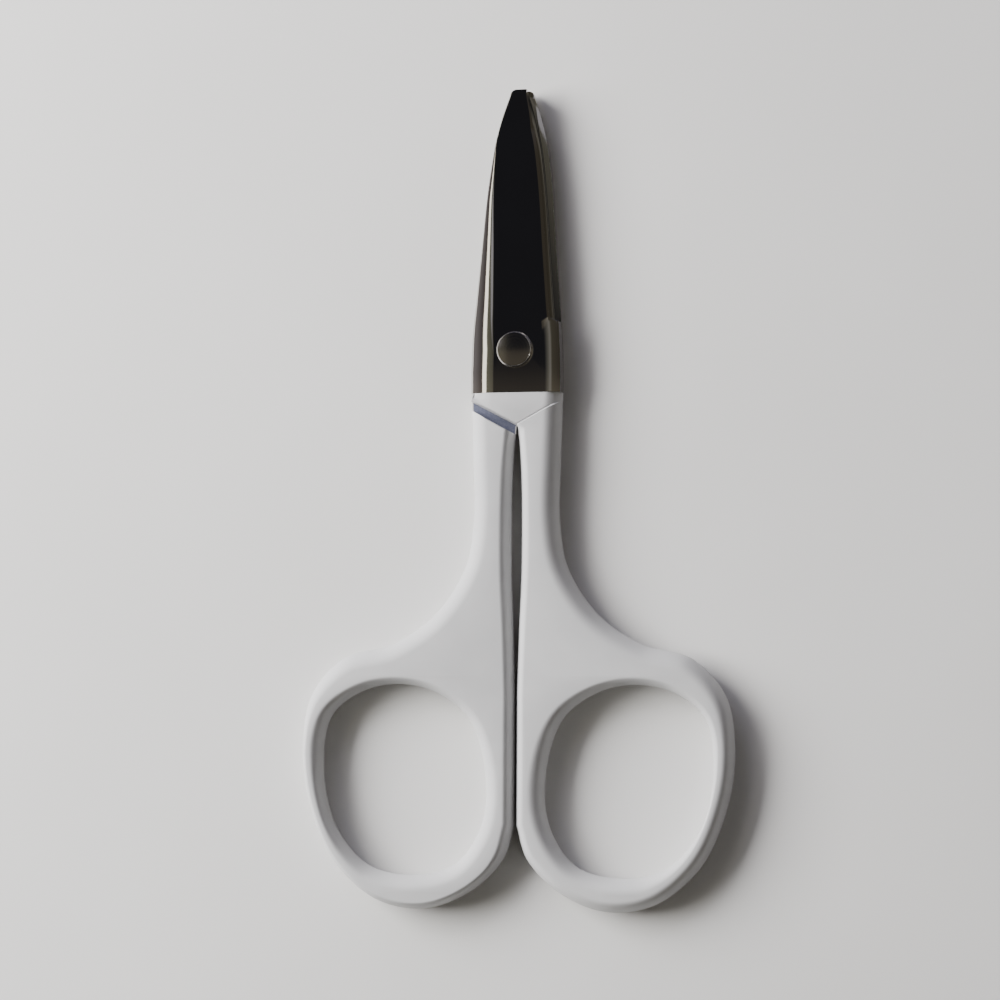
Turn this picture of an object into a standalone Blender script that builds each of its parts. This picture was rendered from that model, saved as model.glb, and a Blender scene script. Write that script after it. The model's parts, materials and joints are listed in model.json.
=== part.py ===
"""Nail scissors: two forged steel halves, their coated handles and one pivot screw.

The scissors lie closed on their back, tip towards +Y, ready to be picked up.
+X is the side of the front half's handle, +Z points away from the table. The origin is on the
table, under the middle of the closed scissors. All lengths are in metres.

Everything is drawn round the pivot first and then moved to its place. The front half is the
upper one. The rear half is the same forging turned half a turn about the long axis.
"""
import math

import bmesh
import bpy
from mathutils import Matrix, Vector

# Overall sizes, measured from the pivot
blade_reach = 0.0290
handle_reach = 0.0610
total_thickness = 0.0034
pivot_y = (handle_reach - blade_reach) / 2

# The flat joint plate of each half
plate_half_width = 0.0051
plate_drop = 0.00018            # the plate's outer face lies this far below the handle's
slide_clearance = 0.00008       # between the two plates
shoulder_depth = 0.0093         # from the pivot down to the bottom of the V shoulder
shoulder_angle = math.radians(29)
shoulder_clearance = 0.0008     # from the other half's plate to the shoulder

# Handle: shank and finger ring
edge_round = 0.0011             # rounding of the handle's edges
ring_width = 0.0240
ring_length = 0.0288
stop_clearance = 0.0002         # between the two rings' flat sides
shank_gap = 0.0012              # widest gap between the shanks
outer_limb = 0.00235            # width of the ring beside the finger
inner_limb = 0.0034
end_limb = 0.0036
top_limb = 0.0044

# Coating of the handle
coat_wall = 0.0004
coat_clearance = 0.0002         # between the coating and the steel in it
coat_line_depth = 0.0047        # from the pivot down to the coating's upper edge
coat_line_clearance = 0.0001

# Blade
spine_grind = 0.0027            # width of the rounded grind beside the spine, at the joint
spine_land = 0.00035            # height of the spine's upright side
spine_grind_share = 0.84        # share of the blade's reach along which the grind runs out
edge_bevel = 0.0005             # width of the cutting bevel
edge_land = 0.0002
edge_setback = 0.00080          # the cutting edge stops this far inside the other blade's spine
heel_reach = 0.0031             # from the pivot up to the notch at the blade's heel
heel_length = 0.0004
plate_side_round = 0.0019
tip_thinning = 0.00035
tip_side = 0.0006               # half width of the blunt end itself
tip_lean = 0.00050              # both blades lean this far to the front half's side at the tip

# Pivot screw
head_radius = 0.0020
head_rim = 0.00032
head_dome = 0.00036
head_edge = 0.00010
bearing_radius = 0.00125
bearing_clearance = 0.00006
root_radius = 0.00100
root_clearance = 0.00005
seat_clearance = 0.00005
end_recess = 0.00004

# How far cutters and joined pieces run past each other
overrun = 0.0020
joint_overlap = 0.0016
weld_distance = 0.0000005

# Fineness
steps_per_span = 3
round_segments = 2
turned_segments = 32
section_steps = 4

# Outline of the ring: across from the centre plane, along from the ring's end to its shoulder
ring_outline_shares = [
    (0.055, 0.190), (0.200, 0.070), (0.415, 0.000), (0.645, 0.030), (0.850, 0.175),
    (0.965, 0.390), (1.000, 0.595), (0.962, 0.801), (0.810, 0.945), (0.580, 1.000)]
stop_end_share = 0.318          # where the flat side ends and the ring's round end begins
stop_start_share = 0.815
# Outline from the ring's shoulder up to the joint: across as a share of the plate's half width,
# along as a share of the way from the ring's shoulder to the V shoulder
neck_outline_shares = [(1.790, 0.140), (1.130, 0.360), (0.945, 0.590), (0.960, 0.870)]
# The gap between the shanks: across as a share of half the gap, along as for the neck
gap_outline_shares = [(0.55, 0.090), (0.90, 0.300), (1.00, 0.540), (0.80, 0.820)]
# Finger hole: shares of its own width and length
hole_outline_shares = [
    (0.500, 1.000), (0.745, 0.968), (0.952, 0.830), (1.000, 0.560), (0.935, 0.270), (0.725, 0.055),
    (0.455, 0.000), (0.180, 0.060), (0.020, 0.265), (0.000, 0.545), (0.096, 0.814), (0.285, 0.950)]
# Half width of the blade: along as a share of its reach, across as a share of the plate's
blade_outline_shares = [
    (-0.20, 1.000), (-0.04, 1.000), (0.08, 0.965), (0.19, 0.905), (0.385, 0.805), (0.580, 0.710),
    (0.690, 0.640), (0.790, 0.555), (0.885, 0.425), (0.945, 0.315), (0.980, 0.245)]

# Heights worked out from the sizes above
middle = total_thickness / 2
plate_top = total_thickness - plate_drop
plate_bottom = middle + slide_clearance / 2
ring_shoulder = -handle_reach + ring_length
neck_length = -shoulder_depth - ring_shoulder
coat_line = -coat_line_depth
core_inset = coat_wall + coat_clearance
stop_x = stop_clearance / 2


def clear_scene():
    for thing in list(bpy.data.objects):
        bpy.data.objects.remove(thing, do_unlink=True)


def make_collection(name):
    collection = bpy.data.collections.new(name)
    bpy.context.scene.collection.children.link(collection)
    return collection


def make_material(name, colour, roughness, metallic):
    material = bpy.data.materials.new(name)
    material.use_nodes = True
    shader = material.node_tree.nodes["Principled BSDF"]
    shader.inputs["Base Color"].default_value = (*colour, 1.0)
    shader.inputs["Roughness"].default_value = roughness
    shader.inputs["Metallic"].default_value = metallic
    return material


def smooth_path(knots, steps, closed=False):
    """Points of a smooth curve through the knots, spaced by the square root of their distance."""
    knots = [Vector(knot) for knot in knots]
    count = len(knots)
    if closed:
        ring = [knots[-1], *knots, knots[0], knots[1]]
    else:
        ring = [2 * knots[0] - knots[1], *knots, 2 * knots[-1] - knots[-2]]
    points = []
    for index in range(count if closed else count - 1):
        p0, p1, p2, p3 = ring[index:index + 4]
        t1 = math.sqrt((p1 - p0).length)
        t2 = t1 + math.sqrt((p2 - p1).length)
        t3 = t2 + math.sqrt((p3 - p2).length)
        for step in range(steps):
            t = t1 + (t2 - t1) * step / steps
            a1 = p0.lerp(p1, t / t1)
            a2 = p1.lerp(p2, (t - t1) / (t2 - t1))
            a3 = p2.lerp(p3, (t - t2) / (t3 - t2))
            b1 = a1.lerp(a2, t / t2)
            b2 = a2.lerp(a3, (t - t1) / (t3 - t1))
            points.append(b1.lerp(b2, (t - t1) / (t2 - t1)))
    if not closed:
        points.append(knots[-1])
    return points


def ring_point(across_share, along_share):
    return (across_share * ring_width, -handle_reach + along_share * ring_length)


def plate_edge_y(x):
    """The plate's lower edge, parallel to the other half's V shoulder."""
    rise = abs(x) * math.tan(shoulder_angle)
    return -shoulder_depth + shoulder_clearance / math.cos(shoulder_angle) + rise


def shoulder_y(x):
    return -shoulder_depth + abs(x) * math.tan(shoulder_angle)


def half_outline():
    """Plan of the front half's handle and plate, round from the plate's upper left corner."""
    plate_head = coat_line + joint_overlap
    left = -plate_half_width
    outline = [Vector((left, plate_head)), Vector((left, plate_edge_y(left)))]
    outline.append(Vector((stop_x, plate_edge_y(stop_x))))
    gap = [(stop_x, ring_shoulder - (1 - stop_start_share) * ring_length)]
    for across_share, along_share in gap_outline_shares:
        gap.append((across_share * shank_gap / 2, ring_shoulder + along_share * neck_length))
    gap.append((stop_x, plate_edge_y(stop_x)))
    outline += smooth_path(gap, steps_per_span)[::-1][1:]
    ring = [(stop_x, -handle_reach + stop_end_share * ring_length)]
    ring += [ring_point(*shares) for shares in ring_outline_shares]
    for across_share, along_share in neck_outline_shares:
        ring.append((across_share * plate_half_width, ring_shoulder + along_share * neck_length))
    ring.append((plate_half_width, plate_edge_y(plate_half_width)))
    outline += smooth_path(ring, steps_per_span)
    outline.append(Vector((plate_half_width, plate_head)))
    return outline


def hole_outline():
    width = ring_width - outer_limb - inner_limb
    length = ring_length - end_limb - top_limb
    knots = []
    for across_share, along_share in hole_outline_shares:
        knots.append((inner_limb + across_share * width,
                      -handle_reach + end_limb + along_share * length))
    return smooth_path(knots, steps_per_span, closed=True)


def weld(mesh):
    """Joins the loose caps of a mesh that was a curve."""
    shape = bmesh.new()
    shape.from_mesh(mesh)
    bmesh.ops.remove_doubles(shape, verts=shape.verts, dist=weld_distance)
    bmesh.ops.recalc_face_normals(shape, faces=shape.faces)
    shape.to_mesh(mesh)
    shape.free()


def mesh_from_curve(curve_object, collection):
    """Turns a curve object into a mesh object in the same place, and removes the curve."""
    depsgraph = bpy.context.evaluated_depsgraph_get()
    mesh = bpy.data.meshes.new_from_object(curve_object.evaluated_get(depsgraph))
    weld(mesh)
    name = curve_object.name
    curve_object.name = name + "_curve"
    mesh.transform(curve_object.matrix_world)
    result = bpy.data.objects.new(name, mesh)
    collection.objects.link(result)
    bpy.data.objects.remove(curve_object, do_unlink=True)
    return result


def handle_solid(name, inset, collection):
    """The whole handle with its plate, drawn in on every side by the inset."""
    curve = bpy.data.curves.new(name, "CURVE")
    curve.dimensions = "2D"
    curve.fill_mode = "BOTH"
    for points in (half_outline(), hole_outline()):
        spline = curve.splines.new("POLY")
        spline.points.add(len(points) - 1)
        spline.use_cyclic_u = True
        for point, place in zip(spline.points, points):
            point.co = (place.x, place.y, 0, 1)
    curve.bevel_depth = edge_round - inset
    curve.bevel_resolution = round_segments
    curve.extrude = middle - edge_round
    curve.offset = -edge_round
    thing = bpy.data.objects.new(name, curve)
    thing.location = (0, 0, middle)
    collection.objects.link(thing)
    bpy.context.view_layer.update()
    return mesh_from_curve(thing, collection)


def prism(name, corners, bottom, top, collection):
    """A straight prism over a plan outline."""
    shape = bmesh.new()
    face = shape.faces.new([shape.verts.new((x, y, bottom)) for x, y in corners])
    raised = bmesh.ops.extrude_face_region(shape, geom=[face])["geom"]
    lifted = [item for item in raised if isinstance(item, bmesh.types.BMVert)]
    bmesh.ops.translate(shape, verts=lifted, vec=(0, 0, top - bottom))
    bmesh.ops.recalc_face_normals(shape, faces=shape.faces)
    mesh = bpy.data.meshes.new(name)
    shape.to_mesh(mesh)
    shape.free()
    thing = bpy.data.objects.new(name, mesh)
    collection.objects.link(thing)
    return thing


def cylinder(name, radius, bottom, top, collection):
    shape = bmesh.new()
    bmesh.ops.create_cone(shape, cap_ends=True, segments=turned_segments, radius1=radius,
                          radius2=radius, depth=top - bottom)
    bmesh.ops.translate(shape, verts=shape.verts, vec=(0, 0, (top + bottom) / 2))
    mesh = bpy.data.meshes.new(name)
    shape.to_mesh(mesh)
    shape.free()
    thing = bpy.data.objects.new(name, mesh)
    collection.objects.link(thing)
    return thing


def as_cutter(thing):
    thing.hide_render = True
    thing.display_type = "WIRE"


def boolean(target, operation, other):
    """Applies one exact Boolean at once, so that later cuts meet a plain mesh."""
    modifier = target.modifiers.new(operation.title(), "BOOLEAN")
    modifier.operation = operation
    modifier.solver = "EXACT"
    modifier.object = other
    bpy.context.view_layer.update()
    depsgraph = bpy.context.evaluated_depsgraph_get()
    mesh = bpy.data.meshes.new_from_object(target.evaluated_get(depsgraph))
    target.modifiers.clear()
    old = target.data
    target.data = mesh
    bpy.data.meshes.remove(old)


def joint_cutter(collection):
    """Takes away the lower layer above the V shoulder, where the other half's plate turns."""
    far = plate_half_width + overrun
    corners = [(far, shoulder_y(far)), (0, shoulder_y(0)), (-far, shoulder_y(0)),
               (-far, blade_reach + overrun), (far, blade_reach + overrun)]
    return prism("joint_cutter", corners, -overrun, plate_bottom, collection)


def plate_face_cutter(collection):
    """Lowers the plate's outer face a little below the handle's."""
    far = plate_half_width + overrun
    corners = [(far, plate_edge_y(far)), (0, plate_edge_y(0)), (-far, plate_edge_y(far)),
               (-far, blade_reach + overrun), (far, blade_reach + overrun)]
    return prism("plate_face_cutter", corners, plate_top, total_thickness + overrun, collection)


def coat_line_cutter(collection):
    far = plate_half_width + overrun
    corners = [(-far, coat_line), (far, coat_line), (far, blade_reach), (-far, blade_reach)]
    return prism("coat_line_cutter", corners, -overrun, total_thickness + overrun, collection)


def blade_half_width(y):
    """Half width of the blade's plan at a height, read from the smooth outline."""
    for lower, upper in zip(blade_plan, blade_plan[1:]):
        if lower.x <= y <= upper.x:
            return lower.y + (upper.y - lower.y) * (y - lower.x) / (upper.x - lower.x)
    return blade_plan[-1].y


def blade_section(y):
    """One cross-section of the front blade, from the spine over the outer face to the edge."""
    half = blade_half_width(y)
    along = max(0.0, y / blade_reach)
    top = plate_top - tip_thinning * along
    low = plate_bottom - overrun / 2
    run_out = max(0.0, 1 - along / spine_grind_share)
    grind = max(edge_land, spine_grind * run_out)
    grind_height = (top - plate_bottom - spine_land) * max(edge_land / edge_bevel, run_out)
    section = [(-half, low)]
    for step in range(section_steps + 1):
        turn = math.pi / 2 * step / section_steps
        section.append((-half + grind * (1 - math.cos(turn)),
                        top - grind_height * (1 - math.sin(turn))))
    if y > heel_reach + heel_length / 2:
        right = half - edge_setback
        bevel = min(edge_bevel, half / 2)
        facets = [(right - bevel, top), (right - bevel / 2, top - (top - middle) / 3),
                  (right, plate_bottom + edge_land)]
    else:
        right = half
        depth = top - plate_bottom - spine_land
        facets = []
        for step in range(3):
            turn = math.pi / 2 * step / 2
            facets.append((right - plate_side_round * (1 - math.sin(turn)),
                           top - depth * (1 - math.cos(turn))))
    section += facets
    section.append((right, low))
    return section


def blade_solid(name, collection):
    """Lofts the blade and the uncoated plate through their cross-sections."""
    start = coat_line + coat_line_clearance
    places = [start, start / 2, 0, heel_reach / 2, heel_reach, heel_reach + heel_length]
    first = places[-1]
    last = blade_reach - (1 - blade_outline_shares[-1][0]) * blade_reach
    spans = 3 * section_steps
    places += [first + (last - first) * step / spans for step in range(1, spans + 1)]
    shape = bmesh.new()
    rows = []
    for y in places:
        rows.append([shape.verts.new((x, y, z)) for x, z in blade_section(y)])
    # The blunt end is rounded in plan: the last rows close in on a short flat
    end_section = blade_section(last)
    end_half = blade_half_width(last)
    for step in range(1, section_steps + 1):
        turn = math.pi / 2 * step / section_steps
        y = last + (blade_reach - last) * math.sin(turn)
        shrink = (tip_side + (end_half - tip_side) * math.cos(turn)) / end_half
        rows.append([shape.verts.new((x * shrink, y, z)) for x, z in end_section])
    for row, following in zip(rows, rows[1:]):
        for index in range(len(row)):
            after = (index + 1) % len(row)
            shape.faces.new((row[index], row[after], following[after], following[index]))
    shape.faces.new(rows[0][::-1])
    shape.faces.new(rows[-1])
    bmesh.ops.recalc_face_normals(shape, faces=shape.faces)
    mesh = bpy.data.meshes.new(name)
    shape.to_mesh(mesh)
    shape.free()
    thing = bpy.data.objects.new(name, mesh)
    collection.objects.link(thing)
    return thing


def steel_half(name, hole_radius, parts, cutters):
    """One forging in the front half's place: blade and plate joined to the handle's core."""
    steel = blade_solid(name, parts)
    core = handle_solid(name + "_core", core_inset, cutters)
    boolean(steel, "UNION", core)
    boolean(steel, "DIFFERENCE", bpy.data.objects["joint_cutter"])
    bore = cylinder(name + "_bore", hole_radius, 0, total_thickness, cutters)
    boolean(steel, "DIFFERENCE", bore)
    as_cutter(core)
    as_cutter(bore)
    return steel


def coating_half(name, parts, cutters):
    """The coating shell in the front half's place, open at the shoulder and the coat line."""
    coat = handle_solid(name, 0, parts)
    cavity = handle_solid(name + "_cavity", coat_wall, cutters)
    boolean(coat, "DIFFERENCE", bpy.data.objects["plate_face_cutter"])
    boolean(coat, "DIFFERENCE", cavity)
    boolean(coat, "DIFFERENCE", bpy.data.objects["joint_cutter"])
    boolean(coat, "DIFFERENCE", bpy.data.objects["coat_line_cutter"])
    as_cutter(cavity)
    return coat


def pivot_screw(name, parts):
    """The turned screw: low dome, rim, bearing length in the front plate, root in the rear one."""
    seat = plate_top + seat_clearance
    rim_top = seat + head_rim
    profile = []
    for step in range(section_steps + 1):
        turn = math.pi / 2 * step / section_steps
        profile.append(((head_radius - head_edge) * math.sin(turn),
                        rim_top + head_dome * math.cos(turn)))
    profile.append((head_radius, rim_top - head_edge))
    profile.append((head_radius, seat))
    profile.append((bearing_radius, seat))
    profile.append((bearing_radius, middle))
    profile.append((root_radius, middle))
    profile.append((root_radius, plate_drop + end_recess))
    profile.append((0, plate_drop + end_recess))
    mesh = bpy.data.meshes.new(name)
    vertices = [(radius, 0, height) for radius, height in profile]
    mesh.from_pydata(vertices, [(index, index + 1) for index in range(len(profile) - 1)], [])
    thing = bpy.data.objects.new(name, mesh)
    parts.objects.link(thing)
    screw = thing.modifiers.new("Turn", "SCREW")
    screw.axis = "Z"
    screw.steps = turned_segments
    screw.render_steps = turned_segments
    screw.use_merge_vertices = True
    screw.merge_threshold = weld_distance
    screw.use_smooth_shade = True
    return thing


def shade(thing):
    """Smooth shading that keeps the edges sharper than thirty degrees."""
    thing.data.shade_smooth()
    thing.data.set_sharp_from_angle(angle=math.radians(30))


def lean_blade(thing):
    """Leans the blade sideways, from the pivot's head up to the tip."""
    for vertex in thing.data.vertices:
        share = (vertex.co.y - head_radius) / (blade_reach - head_radius)
        vertex.co.x += tip_lean * max(0.0, share)


def turn_over(thing):
    """Half a turn about the long axis, at half the thickness: front half to rear half."""
    thing.data.transform(Matrix.Rotation(math.pi, 4, "Y"))
    thing.data.transform(Matrix.Translation((0, 0, total_thickness)))


clear_scene()
blade_knots = [(along * blade_reach, across * plate_half_width)
               for along, across in blade_outline_shares]
blade_plan = smooth_path(blade_knots, steps_per_span)

parts = make_collection("nail_scissors")
cutters = make_collection("cutters")
for cutter in (joint_cutter(cutters), plate_face_cutter(cutters), coat_line_cutter(cutters)):
    as_cutter(cutter)

steel = make_material("polished_steel", (0.56, 0.56, 0.57), 0.12, 1.0)
rear_steel = make_material("polished_steel_rear", (0.56, 0.56, 0.57), 0.12, 1.0)
screw_steel = make_material("screw_steel", (0.50, 0.50, 0.50), 0.18, 1.0)
coat_colour = make_material("grey_white_coating", (0.58, 0.58, 0.58), 0.35, 0.0)
rear_coat_colour = make_material("grey_white_coating_rear", (0.58, 0.58, 0.58), 0.35, 0.0)

front_blade = steel_half("front_blade", bearing_radius + bearing_clearance, parts, cutters)
front_blade.data.materials.append(steel)
rear_blade = steel_half("rear_blade", root_radius + root_clearance, parts, cutters)
rear_blade.data.materials.append(rear_steel)
front_coating = coating_half("front_coating", parts, cutters)
front_coating.data.materials.append(coat_colour)
rear_coating = coating_half("rear_coating", parts, cutters)
rear_coating.data.materials.append(rear_coat_colour)
screw = pivot_screw("pivot_screw", parts)
screw.data.materials.append(screw_steel)

turn_over(rear_blade)
turn_over(rear_coating)
lean_blade(front_blade)
lean_blade(rear_blade)
for piece in (front_blade, rear_blade, front_coating, rear_coating):
    shade(piece)

# Everything so far is drawn round the pivot, which now goes to its place
for thing in list(parts.objects) + list(cutters.objects):
    thing.location.y += pivot_y
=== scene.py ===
"""The looks of a pair of small nail scissors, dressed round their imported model.

Two forged halves lie closed on their back, tip towards +Y. Their blades and joint plates are
polished steel, their handles have a satin grey-white coating, and one domed screw holds them.
Each half is drawn once, as the front one, round the pivot, and the rear half is the same forging
turned half a turn about the long axis. All lengths are in metres.
"""
import json
import math

import bmesh
import bpy
from mathutils import Matrix, Vector
from mathutils.geometry import tessellate_polygon


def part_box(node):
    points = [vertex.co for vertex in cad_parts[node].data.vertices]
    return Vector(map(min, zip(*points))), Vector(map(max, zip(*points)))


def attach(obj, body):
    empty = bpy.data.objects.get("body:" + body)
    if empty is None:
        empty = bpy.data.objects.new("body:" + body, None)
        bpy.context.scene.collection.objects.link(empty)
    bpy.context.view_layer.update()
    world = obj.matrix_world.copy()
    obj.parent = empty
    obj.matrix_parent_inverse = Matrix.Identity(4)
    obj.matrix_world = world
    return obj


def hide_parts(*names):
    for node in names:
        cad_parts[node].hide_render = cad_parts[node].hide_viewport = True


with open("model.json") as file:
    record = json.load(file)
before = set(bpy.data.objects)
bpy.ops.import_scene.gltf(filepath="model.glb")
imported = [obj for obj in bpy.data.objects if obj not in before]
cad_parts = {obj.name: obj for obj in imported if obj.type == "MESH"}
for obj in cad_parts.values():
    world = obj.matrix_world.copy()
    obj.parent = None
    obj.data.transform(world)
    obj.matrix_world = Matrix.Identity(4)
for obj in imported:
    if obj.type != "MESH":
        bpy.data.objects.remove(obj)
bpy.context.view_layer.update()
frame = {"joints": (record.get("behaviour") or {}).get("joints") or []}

MM = 0.001

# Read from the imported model
pivot = Vector(frame["joints"][0]["pos_m"])
handle_low, handle_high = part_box("front_coating")
_, blade_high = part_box("front_blade")
screw_low, screw_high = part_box("pivot_screw")
thickness = handle_high.z
middle = pivot.z
handle_reach = pivot.y - handle_low.y
blade_reach = blade_high.y - pivot.y
coat_line = handle_high.y - pivot.y
plate_top = blade_high.z
ring_width = handle_high.x

# The forging, as in the model
plate_half_width = 5.1 * MM
plate_bottom = middle + 0.04 * MM
shoulder_depth = 9.3 * MM
shoulder_angle = math.radians(29)
shoulder_clearance = 0.8 * MM
ring_length = 28.8 * MM
stop_x = 0.1 * MM
shank_gap = 1.2 * MM
outer_limb = 2.35 * MM
inner_limb = 3.4 * MM
end_limb = 3.6 * MM
top_limb = 4.4 * MM
heel_reach = 3.1 * MM
heel_length = 0.4 * MM
edge_setback = 0.80 * MM                   # the edge lies this far inside the other spine
spine_grind = 2.7 * MM
spine_land = 0.35 * MM
spine_grind_share = 0.84
tip_thinning = 0.35 * MM
tip_side = 0.6 * MM
tip_lean = 0.50 * MM                       # both blades lean this far to the front half's side
head_radius = 2.0 * MM

# Roundings of the handle, finer than in the model: how far each reaches in
stop_round = 1.10 * MM                     # at the stop side
shank_round = 2.00 * MM                    # at the shank's outer side
limb_round = (0.80 * MM, 1.30 * MM)        # round the ring, on the lower and the upper side
v_round = 0.35 * MM                        # along the V's left arm
hole_round = 1.70 * MM                     # in the finger hole, beside the inner limb
hole_end_round = 1.60 * MM                 # at its end
hole_head_round = 0.85 * MM                # at its head
hole_limb_round = (1.40 * MM, 0.80 * MM)   # beside the outer limb, lower and upper side
limb_share = 0.88                          # the most of a limb that both its roundings take
round_height = 1.62 * MM                   # the side is widest at this height
side_curve_shares = [(0.0, 0.0), (0.16, 0.45), (0.48, 1.0), (1.0, 1.0)]
side_blend = 1.5 * MM                      # half the way from stop side to outer side
ring_blend = 6.0 * MM                      # half the way from shank to ring

# Coating and plate
film = 0.12 * MM                           # the coating's thickness over the steel
film_gap = 0.01 * MM
tang = 1.6 * MM                            # the coated steel runs on this far in the bare plate
overrun = 2.0 * MM
step_reach = 0.07 * MM                     # half the width of the step along the V
crease_depth = 0.12 * MM
crease_width = 0.06 * MM
crease_place = 0.10 * MM                   # above the step
shoulder_round = 0.15 * MM
plate_side_round = 1.85 * MM
side_wall = 1.05 * MM                      # height of the steep part of the plate's right side
side_lean = 0.12 * MM

# Blade
grind_start = math.tan(math.radians(4))    # slope of the grind where the flat ends
grind_blend = 0.40 * MM                    # half the way over which it begins above the V
least_depth_share = 0.3                    # of the grind's depth, left at the tip
edge_bevel = 0.50 * MM
least_bevel_share = 0.1                    # of the bevel's width, left at the tip
bevel_facet_share = 0.6                    # of the bevel's width, taken by its flatter facet
facet_angle = math.radians(24)
edge_land = 0.12 * MM
flat_start = 0.03 * MM                     # corners this far in keep the flat's shading flat
tip_bevel_length = 4.5 * MM
tip_setback = 0.60 * MM
hollow = 0.11 * MM                         # depth of the hollow ground inner face
hollow_start = 1.5 * MM                    # full from twice this length above the pivot
hollow_fade = 1.2 * MM                     # and running out over this length at the tip

# Pivot screw
bearing = 1.25 * MM                        # its radius where the front plate turns on it
root = 1.0 * MM                            # and where it is fixed in the rear plate
running_gap = 0.03 * MM
fixed_gap = 0.01 * MM
head_gap = 0.05 * MM                       # between the plate and the head's underside
rim_height = 0.32 * MM
rim_chamfer = 0.10 * MM
crown_fall = 0.07 * MM                     # the crown has fallen this far where its edge begins
crown_round = 0.20 * MM

span_steps = 12
round_steps = 12
grind_steps = 24
blade_rows = 70
step_rows = 12
hollow_steps = 10
facets_round = 96
sharpest_mitre = 0.5                       # keeps a mitre short at a sharp corner
weld_distance = 0.0005 * MM

ring_outline_shares = [
    (0.055, 0.190), (0.200, 0.070), (0.415, 0.000), (0.645, 0.030), (0.850, 0.175),
    (0.965, 0.390), (1.000, 0.595), (0.962, 0.801), (0.810, 0.945), (0.580, 1.000)]
stop_end_share = 0.318
stop_start_share = 0.815
neck_outline_shares = [(1.790, 0.140), (1.130, 0.360), (0.945, 0.590), (0.960, 0.870)]
gap_outline_shares = [(0.55, 0.090), (0.90, 0.300), (1.00, 0.540), (0.80, 0.820)]
hole_outline_shares = [
    (0.500, 1.000), (0.745, 0.968), (0.952, 0.830), (1.000, 0.560), (0.935, 0.270), (0.725, 0.055),
    (0.455, 0.000), (0.180, 0.060), (0.020, 0.265), (0.000, 0.545), (0.096, 0.814), (0.285, 0.950)]
blade_outline_shares = [
    (-0.20, 1.000), (-0.04, 1.000), (0.08, 0.965), (0.19, 0.905), (0.385, 0.805), (0.580, 0.710),
    (0.690, 0.640), (0.790, 0.555), (0.885, 0.425), (0.945, 0.315), (0.980, 0.245)]

ring_shoulder = -handle_reach + ring_length
neck_length = -shoulder_depth - ring_shoulder

hole_width = ring_width - outer_limb - inner_limb
hole_length = ring_length - end_limb - top_limb
plate_start = -1.5 * shoulder_depth        # the plate's face is worked from here to the tip


# Plan outlines, round the pivot

def smooth_path(knots, steps, closed=False):
    """Points of a smooth curve through the knots, spaced by the square root of their distance."""
    knots = [Vector(knot) for knot in knots]
    count = len(knots)
    if closed:
        ring = [knots[-1], *knots, knots[0], knots[1]]
    else:
        ring = [2 * knots[0] - knots[1], *knots, 2 * knots[-1] - knots[-2]]
    points = []
    for index in range(count if closed else count - 1):
        p0, p1, p2, p3 = ring[index:index + 4]
        t1 = math.sqrt((p1 - p0).length)
        t2 = t1 + math.sqrt((p2 - p1).length)
        t3 = t2 + math.sqrt((p3 - p2).length)
        for step in range(steps):
            t = t1 + (t2 - t1) * step / steps
            a1 = p0.lerp(p1, t / t1)
            a2 = p1.lerp(p2, (t - t1) / (t2 - t1))
            a3 = p2.lerp(p3, (t - t2) / (t3 - t2))
            b1 = a1.lerp(a2, t / t2)
            b2 = a2.lerp(a3, (t - t1) / (t3 - t1))
            points.append(b1.lerp(b2, (t - t1) / (t2 - t1)))
    if not closed:
        points.append(knots[-1])
    return points


def plate_edge_y(x):
    rise = abs(x) * math.tan(shoulder_angle)
    return -shoulder_depth + shoulder_clearance / math.cos(shoulder_angle) + rise


def half_outline():
    """The front half's handle and plate, anticlockwise from the plate's upper left corner."""
    head = coat_line + tang
    left = -plate_half_width
    outline = [Vector((left, head)), Vector((left, plate_edge_y(left)))]
    outline.append(Vector((stop_x, plate_edge_y(stop_x))))
    gap = [(stop_x, ring_shoulder - (1 - stop_start_share) * ring_length)]
    for across, along in gap_outline_shares:
        gap.append((across * shank_gap / 2, ring_shoulder + along * neck_length))
    gap.append((stop_x, plate_edge_y(stop_x)))
    outline += smooth_path(gap, span_steps)[::-1][1:]
    ring = [(stop_x, -handle_reach + stop_end_share * ring_length)]
    for across, along in ring_outline_shares:
        ring.append((across * ring_width, -handle_reach + along * ring_length))
    for across, along in neck_outline_shares:
        ring.append((across * plate_half_width, ring_shoulder + along * neck_length))
    ring.append((plate_half_width, plate_edge_y(plate_half_width)))
    outline += smooth_path(ring, span_steps)
    outline.append(Vector((plate_half_width, head)))
    return outline


def hole_outline():
    knots = []
    for across, along in hole_outline_shares:
        knots.append((inner_limb + across * hole_width,
                      -handle_reach + end_limb + along * hole_length))
    return smooth_path(knots, span_steps, closed=True)


def inward_mitres(points):
    """For each point of an anticlockwise loop, the step inwards that moves its sides by one."""
    mitres = []
    for index, point in enumerate(points):
        before = (point - points[index - 1]).normalized()
        after = (points[(index + 1) % len(points)] - point).normalized()
        normal = Vector((-before.y - after.y, before.x + after.x)).normalized()
        mitres.append(normal / max(sharpest_mitre, normal.dot(Vector((-before.y, before.x)))))
    return mitres


handle_outline = half_outline()
blade_knots = [(along * blade_reach, across * plate_half_width)
               for along, across in blade_outline_shares]
blade_plan = smooth_path(blade_knots, span_steps)


# Meshes

def new_piece(name, mesh):
    piece = bpy.data.objects.new(name, mesh)
    bpy.context.scene.collection.objects.link(piece)
    return piece


def mesh_from(shape, name):
    bmesh.ops.recalc_face_normals(shape, faces=shape.faces)
    mesh = bpy.data.meshes.new(name)
    shape.to_mesh(mesh)
    shape.free()
    return mesh


def skin(shape, rows):
    """Faces between closed rows of corners."""
    for row, above in zip(rows, rows[1:]):
        for index in range(len(row)):
            after = (index + 1) % len(row)
            shape.faces.new((row[index], row[after], above[after], above[index]))


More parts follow.
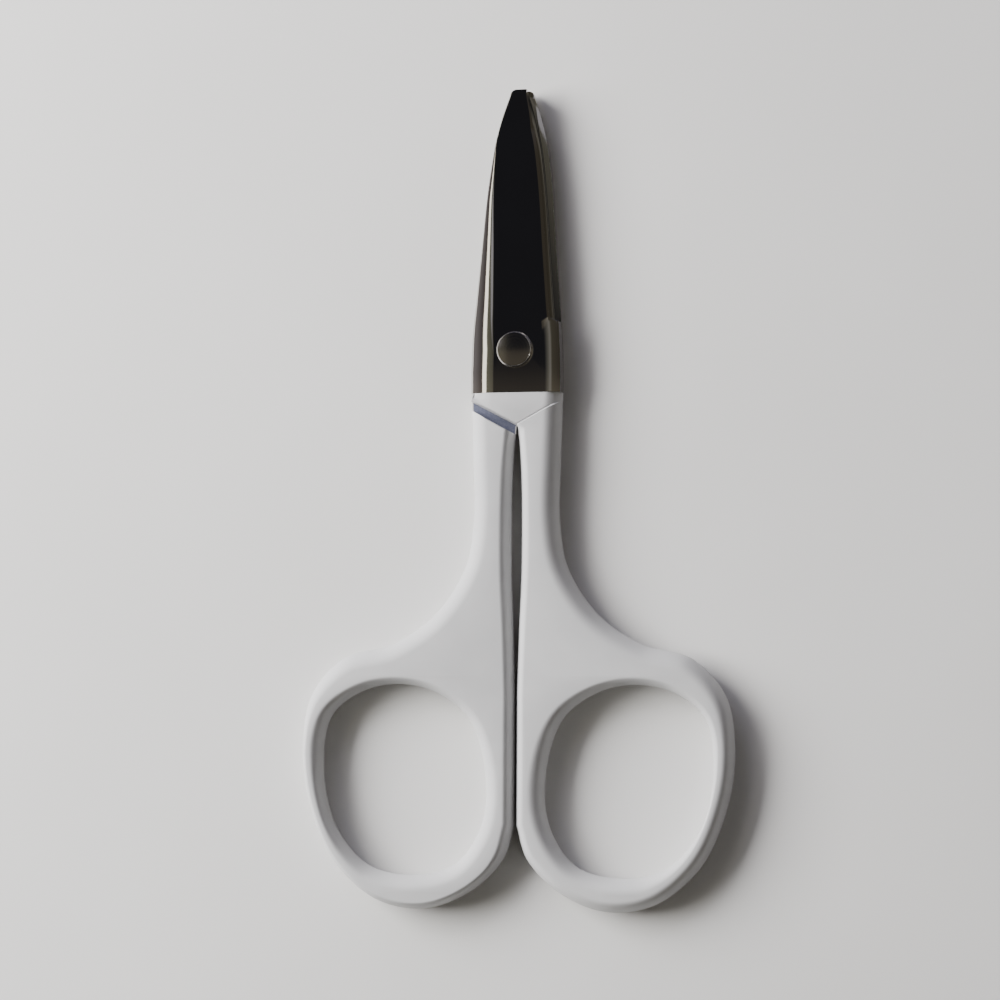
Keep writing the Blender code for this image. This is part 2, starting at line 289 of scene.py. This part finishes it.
def soft_step(distance, reach):
    """0 before the step, 1 after it, with a smooth rise between."""
    share = min(1.0, max(0.0, (distance + reach) / (2 * reach)))
    return share * share * (3 - 2 * share)


def between(low, high, share):
    return low + (high - low) * share


def side_curve(share):
    """The side's curve: the share of the reach and of the height at a share of the way up."""
    rest = 1 - share
    weights = (rest ** 3, 3 * share * rest ** 2, 3 * share ** 2 * rest, share ** 3)
    return [sum(weight * corner[axis] for weight, corner in zip(weights, side_curve_shares))
            for axis in (0, 1)]


def outline_reach(point, upper):
    """How far the rounding reaches in from the outline, on the lower or the upper side."""
    if point.x < stop_x + weld_distance and abs(point.y - plate_edge_y(point.x)) < weld_distance:
        return v_round
    outer = soft_step(point.x - side_blend, side_blend)
    in_ring = soft_step(ring_shoulder - ring_blend - point.y, ring_blend)
    widest = between(shank_round, limb_round[upper], in_ring)
    return between(stop_round, widest, outer)


def hole_reach(point, upper):
    """The same round the finger hole, clear of the outline's rounding on a narrow limb."""
    hole_middle = Vector((inner_limb + hole_width / 2,
                          -handle_reach + end_limb + hole_length / 2))
    way = (point - hole_middle).normalized()
    beside = hole_limb_round[upper] if way.x > 0 else hole_round
    ahead = hole_head_round if way.y > 0 else hole_end_round
    limb = min((point - other).length for other in handle_outline)
    return min(between(ahead, beside, way.x ** 2), limb_share * limb - limb_round[upper])


def rounded_handle(name, inset):
    """The handle and plate with rounded edges, drawn in on every side by the inset."""
    shape = bmesh.new()
    caps = []
    for outline, reach in ((handle_outline, outline_reach), (hole_outline(), hole_reach)):
        mitres = inward_mitres(outline)
        profile = []
        for step in range(round_steps + 1):
            share, rise = side_curve(1 - step / round_steps)
            profile.append((share, inset + (round_height - inset) * (1 - rise), 0))
        profile += [(share, thickness - height, 1) for share, height, _ in reversed(profile)]
        rows = []
        for share, height, upper in profile:
            row = []
            for point, mitre in zip(outline, mitres):
                offset = inset + (reach(point, upper) - inset) * share
                place = point + offset * mitre
                row.append(shape.verts.new((place.x, place.y, height)))
            rows.append(row)
        skin(shape, rows)
        caps.append((rows[0], rows[-1]))
    for bottom_or_top in (0, 1):
        loops = [cap[bottom_or_top] for cap in caps]
        flat = [vertex for loop in loops for vertex in loop]
        for corners in tessellate_polygon([[vertex.co for vertex in loop] for loop in loops]):
            shape.faces.new([flat[corner] for corner in corners])
    bmesh.ops.recalc_face_normals(shape, faces=shape.faces)
    shape_plate_face(shape, inset)
    return new_piece(name, mesh_from(shape, name))


def distance_above_v(place):
    """Distance above the V's right arm, which runs on beyond the centre."""
    return ((place.y - plate_edge_y(0)) * math.cos(shoulder_angle)
            - place.x * math.sin(shoulder_angle))


def grind_top(x, half, top, width, height):
    """The rounded grind beside the spine, as a height over the distance from the spine."""
    across = min(1.0, max(0.0, 1 - (x + half) / width))
    rise = width * grind_start
    return top - (height - rise) * (1 - math.sqrt(1 - across * across)) - rise * across


def cut_plane(shape, foot, normal):
    """Adds a line of corners where a plane crosses the plate's upper side."""
    near = []
    for face in shape.faces:
        heights = [vertex.co.z for vertex in face.verts]
        ends = [vertex.co.y for vertex in face.verts]
        if min(heights) > middle and max(ends) > plate_start:
            near.append(face)
    edges = {edge for face in near for edge in face.edges}
    corners = {vertex for face in near for vertex in face.verts}
    bmesh.ops.bisect_plane(shape, geom=[*near, *edges, *corners], dist=weld_distance,
                           plane_co=foot, plane_no=normal)


def shape_plate_face(shape, inset):
    """Sinks the plate's face with a crease along the V, and grinds its spine side."""
    along = Vector((-math.sin(shoulder_angle), math.cos(shoulder_angle), 0))
    foot = Vector((0, plate_edge_y(0), 0))
    lowest = -2 * step_reach
    highest = crease_place + 2 * crease_width
    for row in range(step_rows + 1):
        cut_plane(shape, foot + (lowest + (highest - lowest) * row / step_rows) * along, along)
    for row in range(1, step_rows):
        spine_side = Vector((spine_grind * row / step_rows - plate_half_width, 0, 0))
        cut_plane(shape, spine_side, Vector((1, 0, 0)))
    drop = thickness - plate_top
    depth = plate_top - plate_bottom - spine_land
    for vertex in shape.verts:
        place = vertex.co
        if place.z < middle or place.y < plate_start:
            continue
        above = distance_above_v(place)
        crease = math.exp(-((above - crease_place) / crease_width) ** 2)
        up_share = min(1.0, (place.z - middle) / (plate_top - middle))
        place.z -= drop * soft_step(above, step_reach) * up_share
        if place.z > thickness - 2 * drop - inset:
            place.z -= crease_depth * crease
        if place.x < spine_grind - plate_half_width:
            from_edge = (place.y - plate_edge_y(place.x)) * math.cos(shoulder_angle)
            ground = grind_top(place.x, plate_half_width, plate_top, spine_grind, depth) - inset
            share = soft_step(from_edge - grind_blend, grind_blend)
            place.z += share * min(0.0, ground - place.z)


def prism(name, corners, bottom, top):
    shape = bmesh.new()
    face = shape.faces.new([shape.verts.new((x, y, bottom)) for x, y in corners])
    raised = bmesh.ops.extrude_face_region(shape, geom=[face])["geom"]
    lifted = [item for item in raised if isinstance(item, bmesh.types.BMVert)]
    bmesh.ops.translate(shape, verts=lifted, vec=(0, 0, top - bottom))
    return new_piece(name, mesh_from(shape, name))


def joint_space(wall, floor):
    """The room for the other half's plate, moved back by the gaps at its wall and its floor."""
    face = plate_bottom + floor
    profile = [(-shoulder_round - wall, -overrun)]
    for step in range(round_steps + 1):
        turn = math.pi / 2 * step / round_steps
        profile.append((shoulder_round * (math.sin(turn) - 1) - wall,
                        shoulder_round * (1 - math.cos(turn))))
    far = blade_reach + 2 * shoulder_depth
    profile += [(-wall, face), (far, face), (far, -overrun)]
    along = Vector((math.cos(shoulder_angle), math.sin(shoulder_angle), 0))
    across = Vector((-math.sin(shoulder_angle), math.cos(shoulder_angle), 0))
    foot = Vector((0, -shoulder_depth, 0))
    shape = bmesh.new()
    ends = []
    for reach in (-far, far):
        ends.append([shape.verts.new(foot + reach * along + distance * across
                                     + Vector((0, 0, height))) for distance, height in profile])
    skin(shape, ends)
    shape.faces.new(ends[0])
    shape.faces.new(ends[1][::-1])
    return new_piece("joint_space", mesh_from(shape, "joint_space"))


def boolean(target, operation, other):
    modifier = target.modifiers.new(operation.title(), "BOOLEAN")
    modifier.operation = operation
    modifier.solver = "EXACT"
    modifier.object = other
    bpy.context.view_layer.update()
    depsgraph = bpy.context.evaluated_depsgraph_get()
    mesh = bpy.data.meshes.new_from_object(target.evaluated_get(depsgraph))
    target.modifiers.clear()
    target.data = mesh


def remove(piece):
    bpy.data.objects.remove(piece, do_unlink=True)


def blade_half_width(y):
    for lower, upper in zip(blade_plan, blade_plan[1:]):
        if lower.x <= y <= upper.x:
            return lower.y + (upper.y - lower.y) * (y - lower.x) / (upper.x - lower.x)
    return blade_plan[-1].y


def blade_section(y):
    """The front blade's cross-section, from the spine over the outer face to the edge."""
    half = blade_half_width(y)
    along = max(0.0, y / blade_reach)
    to_tip = min(1.0, (blade_reach - y) / tip_bevel_length)
    top = plate_top - tip_thinning * along
    run_out = max(0.0, 1 - along / spine_grind_share)
    grind = max(edge_land, spine_grind * run_out)
    depth = (top - plate_bottom - spine_land) * max(least_depth_share, run_out)
    section = []
    for step in range(grind_steps + 1):
        x = -half + grind * (1 - math.cos(math.pi / 2 * step / grind_steps))
        section.append((x, grind_top(x, half, top, grind, depth)))
    section.append((grind + flat_start - half, top))
    if y > heel_reach + heel_length / 2:
        right = half - tip_setback - (edge_setback - tip_setback) * to_tip
        bevel = edge_bevel * max(least_bevel_share, to_tip)
        facet_end = top - bevel_facet_share * bevel * math.tan(facet_angle)
        section.append((right - bevel - flat_start, top))
        for step in range(grind_steps):
            share = step / (grind_steps - 1)
            section.append((right - bevel * (1 - bevel_facet_share * share),
                            top - share * (top - facet_end)))
        section.append((right, plate_bottom + edge_land))
    else:
        right = half
        shelf = side_wall + plate_bottom
        section.append((right - side_lean - plate_side_round - flat_start, top))
        for step in range(grind_steps):
            share = step / (grind_steps - 1)
            section.append((right - side_lean - plate_side_round * (1 - share),
                            top - (top - shelf) * share * share))
        section.append((right, plate_bottom + spine_land))
    sink = hollow * soft_step(y - hollow_start, hollow_start)
    sink *= min(1.0, (blade_reach - y) / hollow_fade)
    for step in range(hollow_steps + 1):
        share = 2 * step / hollow_steps - 1
        section.append(((right - half) / 2 - share * (right + half) / 2,
                        plate_bottom + sink * (1 - share * share)))
    return section


def blade_solid(name):
    """Lofts the bare blade and plate through their cross-sections."""
    start = coat_line + film_gap
    last = blade_outline_shares[-1][0] * blade_reach
    places = [start, start / 2, 0, heel_reach / 2, heel_reach, heel_reach + heel_length]
    first = places[-1]
    places += [first + (last - first) * step / blade_rows for step in range(1, blade_rows + 1)]
    shape = bmesh.new()
    rows = []
    for y in places:
        rows.append([shape.verts.new((x, y, z)) for x, z in blade_section(y)])
    end_section = blade_section(last)
    end_half = blade_half_width(last)
    for step in range(1, grind_steps + 1):
        turn = math.pi / 2 * step / grind_steps
        y = last + (blade_reach - last) * math.sin(turn)
        inward = (end_half - tip_side) * (1 - math.cos(turn))
        right = end_section[-hollow_steps - 1][0]       # where the inner face begins
        row = []
        for x, z in end_section:
            row.append(shape.verts.new((x + inward * (right - x) / (right + end_half), y, z)))
        rows.append(row)
    skin(shape, rows)
    shape.faces.new(rows[0][::-1])
    shape.faces.new(rows[-1])
    return new_piece(name, mesh_from(shape, name))


def coated_handle(name):
    """The coating as a thin shell over the steel, open at the joint and at the coat line."""
    coat = rounded_handle(name, 0)
    steel_space = rounded_handle(name + "_space", film)
    joint = joint_space(0, film_gap / 2)
    far = 2 * plate_half_width
    above = prism("above_coat_line", [(-far, coat_line), (far, coat_line), (far, blade_reach),
                                      (-far, blade_reach)], -overrun, thickness + overrun)
    for cutter in (steel_space, joint, above):
        boolean(coat, "DIFFERENCE", cutter)
        remove(cutter)
    return coat


def steel_half(name):
    """Blade, plate and the core inside the coating, in one piece."""
    steel = blade_solid(name)
    core = rounded_handle(name + "_core", film + film_gap)
    joint = joint_space(film_gap, film_gap)
    boolean(core, "DIFFERENCE", joint)
    boolean(steel, "UNION", core)
    for helper in (core, joint):
        remove(helper)
    return steel


def drill(piece, radius):
    """Bores the plate round the pivot for the screw."""
    shape = bmesh.new()
    bmesh.ops.create_cone(shape, cap_ends=True, segments=facets_round, radius1=radius,
                          radius2=radius, depth=4 * thickness)
    drill_bit = new_piece("drill_bit", mesh_from(shape, "drill_bit"))
    boolean(piece, "DIFFERENCE", drill_bit)
    remove(drill_bit)


def lean_blade(piece):
    """Leans the blade sideways, from the screw head's rim up to the tip."""
    for vertex in piece.data.vertices:
        share = (vertex.co.y - head_radius) / (blade_reach - head_radius)
        vertex.co.x += tip_lean * max(0.0, share)


def turn_over(piece):
    """Makes a rear piece of a front one: half a turn about the long axis."""
    piece.data.transform(Matrix.Rotation(math.pi, 4, "Y"))
    piece.data.transform(Matrix.Translation((0, 0, thickness)))


# Pivot screw, a turned profile

def link(tree, source, target):
    tree.links.new(source, target)


def turning_tree():
    """Sweeps a half profile round the screw's axis and closes it at the axis."""
    tree = bpy.data.node_groups.new("screw_turning", "GeometryNodeTree")
    sockets = {}
    for label, kind in (("Profile", "NodeSocketGeometry"), ("Facets round", "NodeSocketInt"),
                        ("Head radius", "NodeSocketFloat"), ("Weld distance", "NodeSocketFloat"),
                        ("Finish", "NodeSocketMaterial")):
        sockets[label] = tree.interface.new_socket(label, in_out="INPUT", socket_type=kind)
    tree.interface.new_socket("Screw", in_out="OUTPUT", socket_type="NodeSocketGeometry")
    start = tree.nodes.new("NodeGroupInput")
    profile = tree.nodes.new("GeometryNodeMeshToCurve")
    path = tree.nodes.new("GeometryNodeCurvePrimitiveCircle")
    sweep = tree.nodes.new("GeometryNodeCurveToMesh")
    weld = tree.nodes.new("GeometryNodeMergeByDistance")
    realize = tree.nodes.new("GeometryNodeRealizeInstances")
    paint = tree.nodes.new("GeometryNodeSetMaterial")
    end = tree.nodes.new("NodeGroupOutput")
    link(tree, start.outputs["Profile"], profile.inputs["Mesh"])
    link(tree, start.outputs["Facets round"], path.inputs["Resolution"])
    link(tree, start.outputs["Head radius"], path.inputs["Radius"])
    link(tree, path.outputs["Curve"], sweep.inputs["Curve"])
    link(tree, profile.outputs["Curve"], sweep.inputs["Profile Curve"])
    link(tree, sweep.outputs["Mesh"], weld.inputs["Geometry"])
    link(tree, start.outputs["Weld distance"], weld.inputs["Distance"])
    link(tree, weld.outputs["Geometry"], realize.inputs["Geometry"])
    link(tree, realize.outputs["Geometry"], paint.inputs["Geometry"])
    link(tree, start.outputs["Finish"], paint.inputs["Material"])
    link(tree, paint.outputs["Geometry"], end.inputs["Screw"])
    return tree, sockets


def screw_profile():
    """From the dome's centre down the outer side to the end's centre."""
    radius = screw_high.x
    seat = plate_top + head_gap
    rim_top = seat + rim_height
    crown = screw_high.z
    shoulder = radius - crown_round
    profile = []
    for step in range(grind_steps + 1):
        share = step / grind_steps
        profile.append((shoulder * share, crown - crown_fall * share * share))
    start = crown - crown_fall
    for step in range(1, grind_steps + 1):
        turn = math.pi / 2 * step / grind_steps
        profile.append((shoulder + (crown_round - rim_chamfer) * math.sin(turn),
                        start - (start - rim_top) * (1 - math.cos(turn))))
    profile.append((radius, rim_top - rim_chamfer))
    profile.append((radius, seat))
    profile.append((bearing, seat))
    profile.append((bearing, middle))
    profile.append((root, middle))
    profile.append((root, screw_low.z))
    profile.append((0, screw_low.z))
    return profile


def turned_screw(name, finish):
    """The pivot screw, its half profile drawn flat beside the head's rim."""
    radius = screw_high.x
    profile = screw_profile()
    mesh = bpy.data.meshes.new(name)
    mesh.from_pydata([(across - radius, -height, 0) for across, height in profile],
                     [(index, index + 1) for index in range(len(profile) - 1)], [])
    screw = new_piece(name, mesh)
    tree, sockets = turning_tree()
    turning = screw.modifiers.new("Turning", "NODES")
    turning.node_group = tree
    turning[sockets["Facets round"].identifier] = facets_round
    turning[sockets["Head radius"].identifier] = radius
    turning[sockets["Weld distance"].identifier] = weld_distance
    turning[sockets["Finish"].identifier] = finish
    bpy.context.view_layer.update()
    depsgraph = bpy.context.evaluated_depsgraph_get()
    turned = bpy.data.meshes.new_from_object(screw.evaluated_get(depsgraph))
    screw.modifiers.clear()
    shape = bmesh.new()
    shape.from_mesh(turned)
    screw.data = mesh_from(shape, name)
    return screw


# Finishes

dull_blend = 0.1 * MM                      # length on which the polish ends at the coat line


def new_finish(name):
    material = bpy.data.materials.new(name)
    material.use_nodes = True
    tree = material.node_tree
    return material, tree, tree.nodes["Principled BSDF"]


def coordinate(tree, kind, axis):
    """One axis of a texture coordinate."""
    place = tree.nodes.new("ShaderNodeTexCoord")
    split = tree.nodes.new("ShaderNodeSeparateXYZ")
    link(tree, place.outputs[kind], split.inputs["Vector"])
    return split.outputs[axis]


def grain(tree, scale, detail, stretch=(1, 1, 1)):
    """Noise on the piece's own coordinates, stretched along its axes."""
    place = tree.nodes.new("ShaderNodeTexCoord")
    mapping = tree.nodes.new("ShaderNodeMapping")
    mapping.inputs["Scale"].default_value = stretch
    noise = tree.nodes.new("ShaderNodeTexNoise")
    noise.inputs["Scale"].default_value = scale
    noise.inputs["Detail"].default_value = detail
    link(tree, place.outputs["Object"], mapping.inputs["Vector"])
    link(tree, mapping.outputs["Vector"], noise.inputs["Vector"])
    return noise.outputs["Fac"]


def ramp(tree, value, stops):
    node = tree.nodes.new("ShaderNodeValToRGB")
    elements = node.color_ramp.elements
    while len(elements) < len(stops):
        elements.new(0.5)
    for element, (position, colour) in zip(elements, stops):
        element.position = position
        element.color = (*colour, 1.0)
    link(tree, value, node.inputs["Fac"])
    return node.outputs["Color"]


def span(tree, value, low, high, start=0.0, end=1.0):
    """Maps a value between start and end to one between low and high."""
    node = tree.nodes.new("ShaderNodeMapRange")
    node.inputs["From Min"].default_value = start
    node.inputs["From Max"].default_value = end
    node.inputs["To Min"].default_value = low
    node.inputs["To Max"].default_value = high
    link(tree, value, node.inputs["Value"])
    return node.outputs["Result"]


def mixed(tree, low, high, share=None, kind="RGBA", way="MIX"):
    """Two colours or values mixed by a share, or in full where no share is given."""
    node = tree.nodes.new("ShaderNodeMix")
    node.data_type = kind
    node.blend_type = way
    node.inputs["Factor"].default_value = 1.0
    if share is not None:
        link(tree, share, node.inputs["Factor"])
    link(tree, low, node.inputs["A"])
    link(tree, high, node.inputs["B"])
    return node.outputs["Result"]


def bump(tree, shader, value, depth, strength):
    node = tree.nodes.new("ShaderNodeBump")
    node.inputs["Distance"].default_value = depth
    node.inputs["Strength"].default_value = strength
    link(tree, value, node.inputs["Height"])
    link(tree, node.outputs["Normal"], shader.inputs["Normal"])


def satin_coating():
    material, tree, shader = new_finish("satin_coating")
    cloud = grain(tree, scale=220, detail=4)
    shade = ramp(tree, cloud, [(0.3, (0.53, 0.53, 0.535)), (0.7, (0.57, 0.57, 0.57))])
    link(tree, shade, shader.inputs["Base Color"])
    peel = grain(tree, scale=3800, detail=2)
    link(tree, span(tree, peel, low=0.30, high=0.42), shader.inputs["Roughness"])
    bump(tree, shader, peel, depth=0.004 * MM, strength=0.35)
    shader.inputs["Specular IOR Level"].default_value = 0.5
    return material


def polished_steel():
    """Mirror polish above the coat line, ground steel below it, whose dark bluish colour is partly
    painted shade and cool light in the groove.
    """
    material, tree, shader = new_finish("polished_steel")
    line = pivot.y + coat_line
    below = span(tree, coordinate(tree, "Object", "Y"), low=0.0, high=1.0,
                 start=line, end=line - dull_blend)
    link(tree, span(tree, below, low=1.0, high=0.45), shader.inputs["Metallic"])
    lines = grain(tree, scale=900, detail=3, stretch=(14, 0.6, 1))
    speckle = grain(tree, scale=5200, detail=2)
    polish = span(tree, lines, low=0.03, high=0.07)
    grit = span(tree, speckle, low=0.30, high=0.55)
    link(tree, mixed(tree, polish, grit, below, "FLOAT"), shader.inputs["Roughness"])
    cloud = grain(tree, scale=160, detail=3)
    bright = ramp(tree, cloud, [(0.3, (0.60, 0.585, 0.56)), (0.7, (0.64, 0.63, 0.61))])
    # ground steel's colour: a speckled ground finish, darkened and tinted blue as painted shade of
    # the groove
    ground_with_painted_shade = ramp(tree, speckle, [(0.35, (0.20, 0.215, 0.31)), (0.7, (0.27, 0.285, 0.39))])
    link(tree, mixed(tree, bright, ground_with_painted_shade, below), shader.inputs["Base Color"])
    bump(tree, shader, lines, depth=0.001 * MM, strength=0.12)
    return material


def turned_steel():
    """Steel with fine rings round the pivot."""
    material, tree, shader = new_finish("turned_steel")
    shader.inputs["Metallic"].default_value = 1.0
    shader.inputs["Base Color"].default_value = (0.60, 0.58, 0.55, 1)
    place = tree.nodes.new("ShaderNodeTexCoord")
    centre = tree.nodes.new("ShaderNodeMapping")
    centre.inputs["Location"].default_value = (0, -pivot.y, 0)
    wave = tree.nodes.new("ShaderNodeTexWave")
    wave.wave_type = "RINGS"
    wave.rings_direction = "Z"
    wave.inputs["Scale"].default_value = 900
    wave.inputs["Distortion"].default_value = 1.5
    link(tree, place.outputs["Object"], centre.inputs["Vector"])
    link(tree, centre.outputs["Vector"], wave.inputs["Vector"])
    link(tree, span(tree, wave.outputs["Fac"], low=0.10, high=0.14), shader.inputs["Roughness"])
    bump(tree, shader, wave.outputs["Fac"], depth=0.0003 * MM, strength=0.04)
    return material


# Assembly

coating_finish = satin_coating()
steel_finish = polished_steel()
screw_finish = turned_steel()

soft_corners = math.radians(32)            # edges that turn further than this look sharp,
ground_corners = math.radians(12)          # and than this on the ground steel


def dress(piece, body, node, finish, corners):
    """Moves a piece into the model's frame, finishes it, hangs it under its body and hides the
    model's part that it replaces.
    """
    piece.data.transform(Matrix.Translation((0, pivot.y, 0)))
    piece.data.materials.clear()
    piece.data.materials.append(finish)
    piece.data.shade_smooth()
    piece.data.set_sharp_from_angle(angle=corners)
    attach(piece, body)
    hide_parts(node)


front_handle = coated_handle("front_handle_coating")
rear_handle = new_piece("rear_handle_coating", front_handle.data.copy())
turn_over(rear_handle)
front_steel = steel_half("front_blade_steel")
rear_steel = new_piece("rear_blade_steel", front_steel.data.copy())
turn_over(rear_steel)
drill(front_steel, bearing + running_gap)
drill(rear_steel, root + fixed_gap)
lean_blade(front_steel)
lean_blade(rear_steel)
screw_piece = turned_screw("domed_pivot_screw", screw_finish)

dress(front_handle, "front_half", "front_coating", coating_finish,
      soft_corners)
dress(rear_handle, "rear_half", "rear_coating", coating_finish,
      soft_corners)
dress(front_steel, "front_half", "front_blade", steel_finish,
      ground_corners)
dress(rear_steel, "rear_half", "rear_blade", steel_finish,
      ground_corners)
dress(screw_piece, "rear_half", "pivot_screw", screw_finish, soft_corners)


# Floor, light and camera

table_half = 0.6
table_drop = 0.02 * MM                     # keeps its face clear of the pieces that lie on it

# Name, place, the two sides, power, colour, and whether it is seen in mirrors
lamps = [
    ("window", (-0.40, 0.13, 0.22), (0.40, 0.24), 8.0, (1, 0.99, 0.98), False),
    ("sky", (-0.22, 0.40, 0.26), (0.30, 0.30), 0.7, (0.80, 0.78, 1), False),
    ("spine_card", (-0.277, 0.075, 0.373), (0.30, 0.065), 0.15, (1, 0.94, 0.82), True),
    ("rim_card", (0.42, -0.12, 0.36), (0.05, 0.10), 0.12, (1, 1, 1), True),
    ("tip_card", (-0.197, 0.12, 0.46), (0.04, 0.065), 0.0025, (0.87, 0.85, 1), True)]

# The room's colours from side to side, their fading from end to end, and what is added there
room_across = [
    (0.04, (0.22, 0.20, 0.20)), (0.15, (0.10, 0.085, 0.085)), (0.25, (0.16, 0.155, 0.12)),
    (0.352, (0.085, 0.08, 0.065)), (0.372, (0.016, 0.016, 0.019)),
    (0.46, (0.016, 0.016, 0.019)), (0.55, (0.12, 0.115, 0.10)), (0.605, (0.21, 0.20, 0.18)),
    (0.65, (0.075, 0.068, 0.052)), (0.85, (0.045, 0.038, 0.03))]
room_fade = [
    (0.30, (0.15, 0.15, 0.15)), (0.50, (1.0, 1.0, 1.0)), (0.68, (1.0, 1.0, 1.0)),
    (0.85, (0.20, 0.20, 0.24))]
room_along = [
    (0.20, (0.03, 0.028, 0.025)), (0.50, (0.07, 0.06, 0.042)), (0.557, (0.05, 0.042, 0.03)),
    (0.562, (0.0, 0.0, 0.0)), (0.66, (0.0, 0.0, 0.0)), (0.85, (0.09, 0.088, 0.12))]

# The camera, with its place and its aim round the pivot
sensor_width = 36.0
lens = 99.36
camera_place = Vector((60.2, -39.2, 297.6)) * MM
camera_aim = Vector((-1.92, -16.39, 1.6)) * MM
camera_roll = 0.0055
nearest_seen = 0.01


def table_top():
    half = table_half
    mesh = bpy.data.meshes.new("table_top")
    mesh.from_pydata([(-half, -half, 0), (half, -half, 0), (half, half, 0), (-half, half, 0)],
                     [], [(0, 1, 2, 3)])
    table = new_piece("table_top", mesh)
    table.location.z = -table_drop
    material, tree, shader = new_finish("pale_table")
    cloud = grain(tree, scale=30, detail=3)
    link(tree, ramp(tree, cloud, [(0.3, (0.75, 0.745, 0.73)), (0.7, (0.78, 0.775, 0.76))]),
         shader.inputs["Base Color"])
    shader.inputs["Roughness"].default_value = 0.9
    mesh.materials.append(material)


def area_light(name, place, size, power, colour, mirrored):
    """A rectangular lamp that looks at the middle of the table."""
    light = bpy.data.lights.new(name, "AREA")
    light.shape = "RECTANGLE"
    light.size, light.size_y = size
    light.energy = power
    light.color = colour
    thing = bpy.data.objects.new(name, light)
    bpy.context.scene.collection.objects.link(thing)
    thing.location = place
    thing.rotation_euler = (-Vector(place)).to_track_quat("-Z", "Y").to_euler()
    thing.visible_glossy = mirrored


def world_light():
    """A dark room: black straight above the blades, brown and olive lower down."""
    world = bpy.data.worlds.new("studio")
    bpy.context.scene.world = world
    world.use_nodes = True
    tree = world.node_tree
    sideways = span(tree, coordinate(tree, "Generated", "X"), low=0.0, high=1.0, start=-1.0)
    lengthways = span(tree, coordinate(tree, "Generated", "Y"), low=0.0, high=1.0, start=-1.0)
    across = ramp(tree, sideways, room_across)
    fade = ramp(tree, lengthways, room_fade)
    along = ramp(tree, lengthways, room_along)
    faded = mixed(tree, across, fade, way="MULTIPLY")
    back = tree.nodes["Background"]
    link(tree, mixed(tree, faded, along, way="ADD"), back.inputs["Color"])
    back.inputs["Strength"].default_value = 1.0


def camera():
    data = bpy.data.cameras.new("camera")
    data.sensor_width = sensor_width
    data.lens = lens
    data.clip_start = nearest_seen
    thing = bpy.data.objects.new("camera", data)
    bpy.context.scene.collection.objects.link(thing)
    base = Vector((0, pivot.y, 0))
    forward = (camera_aim - camera_place).normalized()
    right = forward.cross(Vector((0, 1, 0))).normalized()
    up = right.cross(forward)
    across = right * math.cos(camera_roll) + up * math.sin(camera_roll)
    upward = up * math.cos(camera_roll) - right * math.sin(camera_roll)
    turn = Matrix((across, upward, -forward)).transposed().to_4x4()
    turn.translation = camera_place + base
    thing.matrix_world = turn
    bpy.context.scene.camera = thing


table_top()
world_light()
for lamp in lamps:
    area_light(*lamp)
camera()
